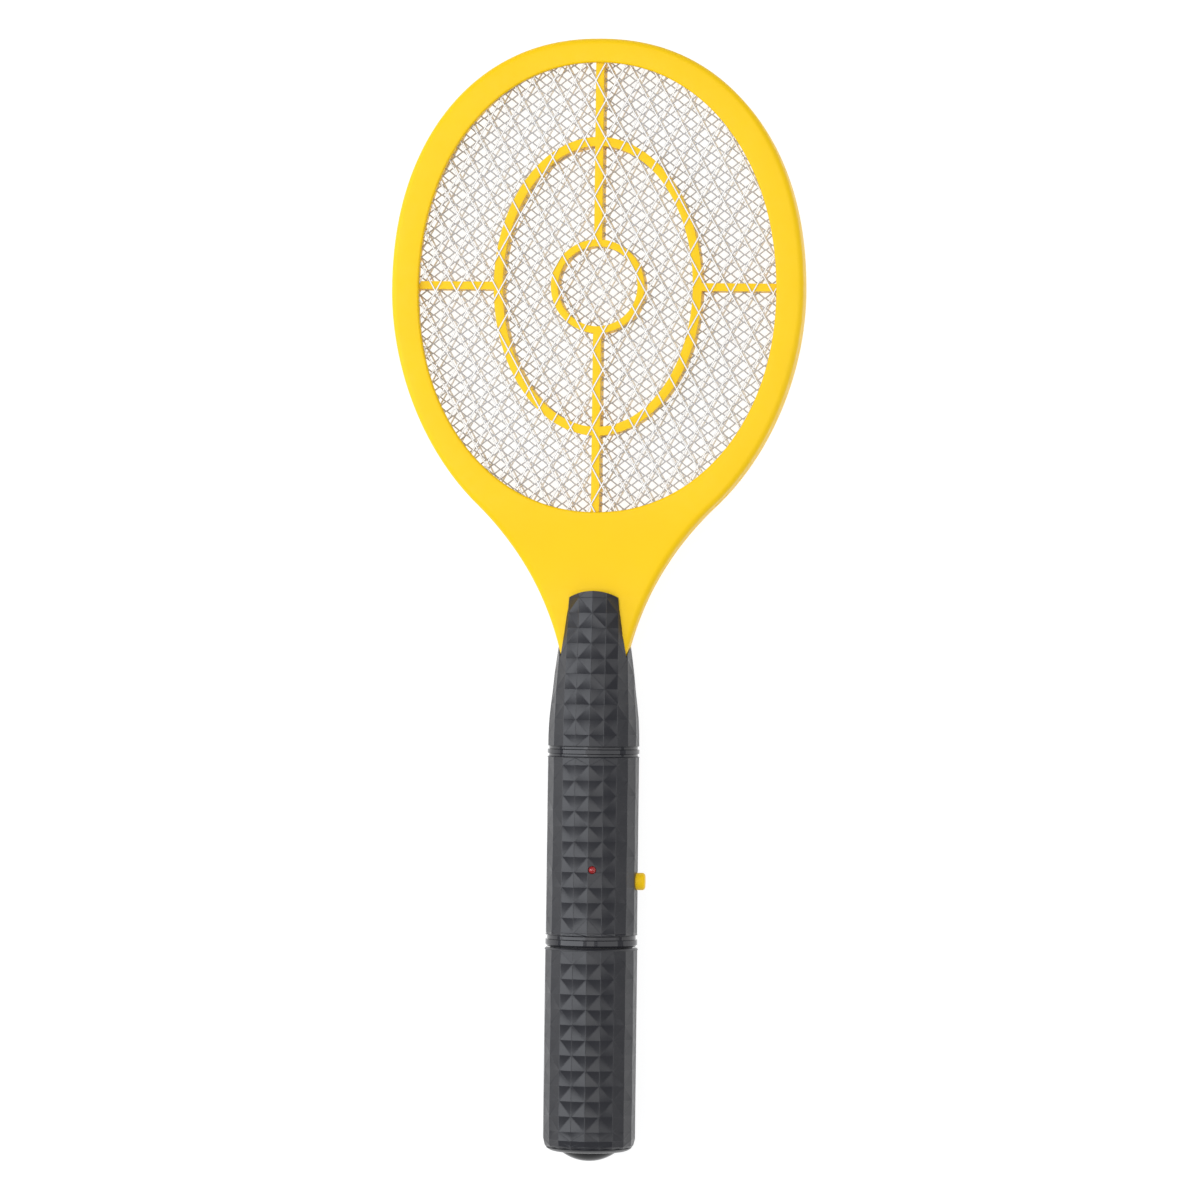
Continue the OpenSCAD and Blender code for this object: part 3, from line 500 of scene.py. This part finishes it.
def ring_corner(y, column, side, patterned):
    """Corner of the faceted skin. The columns keep their width and run out at the seam."""
    outside = 20.5
    skin = grip_skin_radius(y) - SKIN
    angle = min(max(column * COLUMN_PITCH / grip_skin_radius(y), -math.pi / 2), math.pi / 2)
    seam = abs(abs(angle) - math.pi / 2) < 0.02 or abs(column) == HALF_COLUMNS
    if seam:
        angle = math.copysign(math.pi / 2, angle)
    depth = 0.12 if seam else relief_at(column, y)
    radius = skin - depth if patterned else outside
    return at(radius * math.sin(angle), y, side * radius * math.cos(angle))


def grip_envelope():
    """Faceted skin of the whole grip, open wide over the grooves, where the CAD shape shows."""
    bm = bmesh.new()
    corner_end = 9.0
    rings = [(-1.0, False)]
    for low, high in PATTERN_SECTIONS:
        rings.append((low, False))
        ys = [low]
        if low < corner_end:
            ys.append(corner_end)
        first = math.ceil((low - ROW_START_Y) / ROW_PITCH + 0.15)
        last = math.floor((high - ROW_START_Y) / ROW_PITCH - 0.15)
        ys += [ROW_START_Y + ROW_PITCH * row for row in range(first, last + 1)]
        ys.append(high)
        rings += [(y, True) for y in sorted(ys)]
        rings.append((high, False))
    rings.append((PATTERN_SECTIONS[-1][1] + 2, False))
    columns = ring_columns()
    made = []
    for y, patterned in rings:
        made.append([bm.verts.new(ring_corner(y, k, side, patterned)) for k, side in columns])
    facets = []
    count = len(columns)
    for n in range(len(made) - 1):
        (y0, p0), (y1, p1) = rings[n], rings[n + 1]
        row = math.floor(((y0 + y1) / 2 - ROW_START_Y) / ROW_PITCH)
        for i in range(count):
            j = (i + 1) % count
            a, b, c, d = made[n][i], made[n][j], made[n + 1][j], made[n + 1][i]
            if not (p0 and p1):
                bm.faces.new((a, b, c, d))
                continue
            if (columns[i][0] + row) % 2 == 0:
                facets += [bm.faces.new((a, b, c)), bm.faces.new((a, c, d))]
            else:
                facets += [bm.faces.new((a, b, d)), bm.faces.new((b, c, d))]
    bm.faces.new(made[0])
    bm.faces.new(made[-1])
    bmesh.ops.remove_doubles(bm, verts=bm.verts, dist=2e-6)
    bmesh.ops.dissolve_degenerate(bm, edges=bm.edges, dist=2e-6)
    bmesh.ops.recalc_face_normals(bm, faces=bm.faces)
    facets = [f for f in facets if f.is_valid and f.calc_area() > 1e-6]
    bmesh.ops.inset_individual(
        bm, faces=facets, thickness=RIDGE_HALF_WIDTH * MM, depth=-RIDGE_HEIGHT * MM, use_even_offset=True
    )
    return new_piece("grip_envelope", bm)


def grip_pieces(material):
    for node, name in (("grip_front_shell", "front_grip_shell"), ("grip_rear_shell", "rear_grip_shell")):
        shell = trimmed(node, name, grip_envelope())
        shade(shell, FACET_ANGLE)
        finish_piece(shell, material, "racket", "black_plastic", node)
    cover = trimmed("battery_cover", "faceted_battery_cover", grip_envelope())
    shade(cover, FACET_ANGLE)
    finish_piece(cover, material, "cover", "black_plastic", "battery_cover")


def butt_dome(material):
    """Glossy domed plug with a fine bead round its edge."""
    low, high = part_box("end_plug")
    radius = (high[0] - low[0]) / 2 / MM
    height = 4.0
    stem_radius = 3.9
    stem_end = (high[1] - low[1]) / MM
    bead = 0.42
    inner = radius - 2.2 * bead
    ball = (inner ** 2 + (height - 0.5) ** 2) / (2 * (height - 0.5))
    widest = math.asin(inner / ball)
    profile = [(0, 0)]
    for i in range(1, 17):
        a = widest * i / 16
        profile.append((ball * math.sin(a), ball * (1 - math.cos(a))))
    for i in range(9):
        a = math.pi * i / 8
        profile.append((radius - bead - bead * math.cos(a), height - bead * math.sin(a) * 0.9))
    profile += [(stem_radius, height), (stem_radius, stem_end), (0, stem_end)]
    plug = lathe("butt_dome", profile, at(0, 0, 0), 96)
    shade(plug, 40)
    finish_piece(plug, material, "cover", "gloss_black_plastic", "end_plug")


# ---- Materials ----

def new_material(name, base, roughness, metallic=0.0):
    material = bpy.data.materials.new(name)
    material.use_nodes = True
    shader = material.node_tree.nodes["Principled BSDF"]
    shader.inputs["Base Color"].default_value = (*base, 1)
    shader.inputs["Roughness"].default_value = roughness
    shader.inputs["Metallic"].default_value = metallic
    return material, material.node_tree, shader


def object_noise(tree, scale, detail):
    """Noise in the object's own place, with its scale in cells per metre."""
    place = tree.nodes.new("ShaderNodeTexCoord")
    noise = tree.nodes.new("ShaderNodeTexNoise")
    noise.inputs["Scale"].default_value = scale
    noise.inputs["Detail"].default_value = detail
    tree.links.new(place.outputs["Object"], noise.inputs["Vector"])
    return noise


def vary_colour(tree, shader, base, other, scale):
    """Colour that drifts slowly between two near tones."""
    noise = object_noise(tree, scale, 3)
    ramp = tree.nodes.new("ShaderNodeValToRGB")
    ramp.color_ramp.elements[0].position = 0.35
    ramp.color_ramp.elements[1].position = 0.65
    ramp.color_ramp.elements[0].color = (*base, 1)
    ramp.color_ramp.elements[1].color = (*other, 1)
    tree.links.new(noise.outputs["Fac"], ramp.inputs["Fac"])
    tree.links.new(ramp.outputs["Color"], shader.inputs["Base Color"])


def vary_roughness(tree, shader, low, high, scale):
    noise = object_noise(tree, scale, 4)
    spread = tree.nodes.new("ShaderNodeMapRange")
    spread.inputs["From Min"].default_value = 0.3
    spread.inputs["From Max"].default_value = 0.7
    spread.inputs["To Min"].default_value = low
    spread.inputs["To Max"].default_value = high
    tree.links.new(noise.outputs["Fac"], spread.inputs["Value"])
    tree.links.new(spread.outputs["Result"], shader.inputs["Roughness"])


def grain(tree, shader, scale, strength, distance):
    """Fine bumps, as a moulded or brushed surface has."""
    noise = object_noise(tree, scale, 2)
    bump = tree.nodes.new("ShaderNodeBump")
    bump.inputs["Strength"].default_value = strength
    bump.inputs["Distance"].default_value = distance * MM
    tree.links.new(noise.outputs["Fac"], bump.inputs["Height"])
    tree.links.new(bump.outputs["Normal"], shader.inputs["Normal"])


def plastic(name, base, other, roughness, grain_scale, grain_strength):
    material, tree, shader = new_material(name, base, roughness)
    vary_colour(tree, shader, base, other, 40)
    vary_roughness(tree, shader, roughness * 0.85, min(roughness * 1.2, 1), 260)
    grain(tree, shader, grain_scale, grain_strength, 0.05)
    return material


def metal(name, base, other, roughness, grain_scale):
    material, tree, shader = new_material(name, base, roughness, 1.0)
    vary_colour(tree, shader, base, other, 90)
    vary_roughness(tree, shader, roughness * 0.75, min(roughness * 1.3, 1), 700)
    grain(tree, shader, grain_scale, 0.25, 0.02)
    return material


def yellow_plastic():
    material = plastic("yellow_abs", (0.97, 0.61, 0.003), (0.95, 0.597, 0.003), 0.42, 2600, 0.12)
    shader = material.node_tree.nodes["Principled BSDF"]
    shader.inputs["Specular IOR Level"].default_value = 0.22
    return material


def black_plastic(name, base, other, roughness, shine):
    material = plastic(name, base, other, roughness, 3200, 0.08)
    shader = material.node_tree.nodes["Principled BSDF"]
    shader.inputs["Specular IOR Level"].default_value = shine
    return material


def grip_plastic():
    """Satin on the facets, polished in the two grooves round the grip."""
    material = black_plastic("grip_black", (0.017, 0.017, 0.021), (0.013, 0.013, 0.017), 0.3, 0.5)
    tree = material.node_tree
    shader = tree.nodes["Principled BSDF"]
    place = tree.nodes.new("ShaderNodeTexCoord")
    split = tree.nodes.new("ShaderNodeSeparateXYZ")
    along = tree.nodes.new("ShaderNodeMapRange")
    along.inputs["From Min"].default_value = BUTT_Y
    along.inputs["From Max"].default_value = BUTT_Y + 250 * MM
    bands = tree.nodes.new("ShaderNodeValToRGB")
    ramp = bands.color_ramp
    ramp.interpolation = "CONSTANT"
    ramp.elements[0].color = (0.32, 0.32, 0.32, 1)
    ramp.elements[1].position = GROOVES[0][0] / 250
    ramp.elements[1].color = (0.1, 0.1, 0.1, 1)
    for y, roughness in ((GROOVES[0][1], 0.32), (GROOVES[1][0], 0.1), (GROOVES[1][1], 0.32)):
        ramp.elements.new(y / 250).color = (roughness, roughness, roughness, 1)
    tree.links.new(place.outputs["Object"], split.inputs["Vector"])
    tree.links.new(split.outputs["Y"], along.inputs["Value"])
    tree.links.new(along.outputs["Result"], bands.inputs["Fac"])
    tree.links.new(bands.outputs["Color"], shader.inputs["Roughness"])
    return material


def sheet_metal_shaded_flanks(name, face, flank, roughness):
    """Expanded sheet: bright rolled faces, and sloping sheared flanks painted darker by their slope, as
    painted shade.
    """
    material, tree, shader = new_material(name, face, roughness, 0.1)
    surface = tree.nodes.new("ShaderNodeNewGeometry")
    split = tree.nodes.new("ShaderNodeSeparateXYZ")
    size = tree.nodes.new("ShaderNodeMath")
    size.operation = "ABSOLUTE"
    ramp = tree.nodes.new("ShaderNodeValToRGB")
    # Colour by slope: level faces take the face colour, sloping flanks the darker flank colour, which is
    # painted shade.
    ramp.color_ramp.elements[0].position = 0.70
    ramp.color_ramp.elements[0].color = (flank, flank, flank * 1.02, 1)
    ramp.color_ramp.elements[1].position = 0.97
    ramp.color_ramp.elements[1].color = (*face, 1)
    tree.links.new(surface.outputs["Normal"], split.inputs["Vector"])
    tree.links.new(split.outputs["Z"], size.inputs[0])
    tree.links.new(size.outputs["Value"], ramp.inputs["Fac"])
    tree.links.new(ramp.outputs["Color"], shader.inputs["Base Color"])
    vary_roughness(tree, shader, roughness * 0.8, roughness * 1.2, 700)
    return material


def cell_jacket():
    """Printed jacket with a copper band towards one end, and bare ends."""
    material, tree, shader = new_material("cell_jacket", (0.03, 0.035, 0.045), 0.3)
    place = tree.nodes.new("ShaderNodeTexCoord")
    split = tree.nodes.new("ShaderNodeSeparateXYZ")
    ramp = tree.nodes.new("ShaderNodeValToRGB")
    low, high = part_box("battery_left")
    spread = tree.nodes.new("ShaderNodeMapRange")
    spread.inputs["From Min"].default_value = low[1]
    spread.inputs["From Max"].default_value = high[1]
    ramp.color_ramp.interpolation = "CONSTANT"
    ramp.color_ramp.elements[0].color = (0.62, 0.60, 0.56, 1)
    ramp.color_ramp.elements[1].position = 0.012
    ramp.color_ramp.elements[1].color = (0.03, 0.035, 0.045, 1)
    band = ramp.color_ramp.elements.new(0.72)
    band.color = (0.72, 0.38, 0.14, 1)
    end = ramp.color_ramp.elements.new(0.972)
    end.color = (0.62, 0.60, 0.56, 1)
    tree.links.new(place.outputs["Object"], split.inputs["Vector"])
    tree.links.new(split.outputs["Y"], spread.inputs["Value"])
    tree.links.new(spread.outputs["Result"], ramp.inputs["Fac"])
    tree.links.new(ramp.outputs["Color"], shader.inputs["Base Color"])
    shader.inputs["Metallic"].default_value = 0.6
    vary_roughness(tree, shader, 0.22, 0.34, 300)
    grain(tree, shader, 1500, 0.1, 0.02)
    return material


def red_lens():
    material = plastic("red_lens", (0.48, 0.005, 0.007), (0.36, 0.003, 0.005), 0.1, 900, 0.05)
    shader = material.node_tree.nodes["Principled BSDF"]
    shader.inputs["Transmission Weight"].default_value = 0.35
    shader.inputs["Coat Weight"].default_value = 0.6
    return material


def circuit_board_material():
    """Green lacquer over faint copper tracks."""
    material, tree, shader = new_material("board_lacquer", (0.01, 0.12, 0.04), 0.35)
    place = tree.nodes.new("ShaderNodeTexCoord")
    tracks = tree.nodes.new("ShaderNodeTexBrick")
    tracks.inputs["Scale"].default_value = 120
    tracks.inputs["Mortar Size"].default_value = 0.03
    tracks.inputs["Color1"].default_value = (0.008, 0.12, 0.035, 1)
    tracks.inputs["Color2"].default_value = (0.012, 0.15, 0.045, 1)
    tracks.inputs["Mortar"].default_value = (0.03, 0.24, 0.07, 1)
    tree.links.new(place.outputs["Object"], tracks.inputs["Vector"])
    tree.links.new(tracks.outputs["Color"], shader.inputs["Base Color"])
    vary_roughness(tree, shader, 0.28, 0.42, 400)
    grain(tree, shader, 1200, 0.1, 0.03)
    return material


def slot_materials():
    """One material for each slot of the record, and fine_mesh for the centre sheet."""
    nickel = metal("bright_nickel", (0.78, 0.76, 0.71), (0.70, 0.68, 0.62), 0.25, 2500)
    return {
        "yellow_plastic": yellow_plastic(),
        "black_plastic": grip_plastic(),
        "gloss_black_plastic": black_plastic(
            "gloss_black", (0.010, 0.010, 0.011), (0.013, 0.013, 0.014), 0.1, 0.06
        ),
        "tray_plastic": plastic("tray_black", (0.028, 0.028, 0.031), (0.022, 0.022, 0.024), 0.5, 2600, 0.2),
        # The flank colour of each sheet is painted shade on its sloping flanks.
        "mesh_metal": sheet_metal_shaded_flanks("guard_mesh", (0.94, 0.92, 0.88), 0.50, 0.45),
        "fine_mesh": sheet_metal_shaded_flanks("fine_mesh", (0.50, 0.50, 0.52), 0.48, 0.5),
        "screw_steel": metal("zinc_plated", (0.62, 0.62, 0.63), (0.55, 0.55, 0.55), 0.32, 2400),
        "contact_nickel": nickel,
        "red_lens": red_lens(),
        "cell_jacket": cell_jacket(),
        "board_green": circuit_board_material(),
        "switch_plastic": plastic("switch_black", (0.02, 0.02, 0.02), (0.03, 0.03, 0.03), 0.45, 2400, 0.15),
        "ferrite": plastic("ferrite", (0.035, 0.035, 0.038), (0.055, 0.052, 0.05), 0.7, 1600, 0.4),
        "coil_tape": plastic("coil_tape", (0.80, 0.47, 0.03), (0.72, 0.40, 0.02), 0.35, 900, 0.2),
        "film_capacitor": plastic(
            "film_capacitor", (0.42, 0.05, 0.012), (0.36, 0.04, 0.01), 0.22, 500, 0.15
        ),
        "disc_capacitor": plastic(
            "disc_capacitor", (0.04, 0.12, 0.42), (0.03, 0.09, 0.34), 0.55, 1400, 0.35
        ),
        "black_epoxy": plastic(
            "black_epoxy", (0.016, 0.016, 0.016), (0.024, 0.024, 0.024), 0.6, 1800, 0.3
        ),
        "resistor_lacquer": plastic(
            "resistor_lacquer", (0.62, 0.45, 0.22), (0.55, 0.38, 0.18), 0.4, 1100, 0.2
        ),
        "wire_red": plastic("wire_red", (0.55, 0.014, 0.010), (0.47, 0.010, 0.008), 0.4, 900, 0.15),
        "wire_black": plastic("wire_black", (0.014, 0.014, 0.014), (0.022, 0.022, 0.022), 0.42, 900, 0.15),
    }


def paint_cad_nodes(materials):
    """Every CAD node takes the material of its slot."""
    for part in frame["record"]["subparts"]:
        node = NODES[part["node"]]
        material = materials[part["material_slot"]]
        if not node.data.materials:
            node.data.materials.append(material)
        for i in range(len(node.data.materials)):
            node.data.materials[i] = material


# ---- Stage ----

def floor():
    bm = bmesh.new()
    bmesh.ops.create_grid(bm, x_segments=2, y_segments=2, size=4)
    plane = new_piece("floor", bm)
    material, tree, shader = new_material("pale_floor", (0.25, 0.25, 0.25), 0.8)
    vary_colour(tree, shader, (0.25, 0.25, 0.25), (0.24, 0.24, 0.24), 2)
    shader.inputs["Specular IOR Level"].default_value = 0.1
    shader.inputs["Emission Color"].default_value = (1, 1, 1, 1)
    shader.inputs["Emission Strength"].default_value = 0.88
    plane.data.materials.append(material)


def area_light(name, place, aim, size, power, colour):
    data = bpy.data.lights.new(name, "AREA")
    data.shape = "RECTANGLE"
    data.size, data.size_y = size
    data.energy = power
    data.color = colour
    light = bpy.data.objects.new(name, data)
    light.location = place
    light.rotation_euler = (Vector(aim) - Vector(place)).to_track_quat("-Z", "Y").to_euler()
    bpy.context.scene.collection.objects.link(light)


def studio():
    world = bpy.data.worlds.new("studio")
    world.use_nodes = True
    world.node_tree.nodes["Background"].inputs["Color"].default_value = (0.93, 0.95, 1.0, 1)
    world.node_tree.nodes["Background"].inputs["Strength"].default_value = 0.42
    bpy.context.scene.world = world
    area_light("key", (-0.95, 0.1, 0.95), (0, 0, 0), (1.0, 1.8), 15, (0.93, 0.96, 1.0))
    area_light("top", (0.15, 0.2, 1.6), (0, 0, 0), (1.0, 1.2), 6, (1, 1, 1))
    area_light("fill", (0.95, -0.1, 0.85), (0, 0, 0), (0.5, 1.4), 2.4, (1, 1, 1))
    bpy.context.scene.view_settings.view_transform = "Standard"


def camera():
    """Looks down on the front face, from a little towards the button's side."""
    distance = 2.5
    side_angle = math.radians(5.5)
    roll = math.radians(0.7)
    covered_width = 0.471
    target = Vector((0.0018, 0.0002, AXIS_Z))
    back = Vector((math.sin(side_angle), 0, math.cos(side_angle)))
    up = Vector((-math.sin(roll), math.cos(roll), 0))
    right = up.cross(back).normalized()
    up = back.cross(right)
    data = bpy.data.cameras.new("camera")
    data.sensor_width = 36
    data.lens = data.sensor_width * distance / covered_width
    view = bpy.data.objects.new("camera", data)
    view.matrix_world = Matrix((
        (right.x, up.x, back.x, target.x + back.x * distance),
        (right.y, up.y, back.y, target.y + back.y * distance),
        (right.z, up.z, back.z, target.z + back.z * distance),
        (0, 0, 0, 1),
    ))
    bpy.context.scene.collection.objects.link(view)
    bpy.context.scene.camera = view


# ---- Making ----

camera()
floor()
studio()
MATERIALS = slot_materials()
paint_cad_nodes(MATERIALS)
head_frames(MATERIALS["yellow_plastic"])
softened("front_spacer_grid", "front_rib_grid", 0.3, MATERIALS, "racket", "yellow_plastic")
softened("rear_spacer_grid", "rear_rib_grid", 0.3, MATERIALS, "racket", "yellow_plastic")
expanded_sheets(MATERIALS["mesh_metal"], MATERIALS["fine_mesh"])
softened("power_button", "rounded_button", 0.35, MATERIALS, "button", "yellow_plastic")
softened("battery_left", "left_cell", 0.3, MATERIALS, "racket", "cell_jacket")
softened("battery_right", "right_cell", 0.3, MATERIALS, "racket", "cell_jacket")
grip_pieces(MATERIALS["black_plastic"])
butt_dome(MATERIALS["gloss_black_plastic"])

bpy.context.view_layer.update()
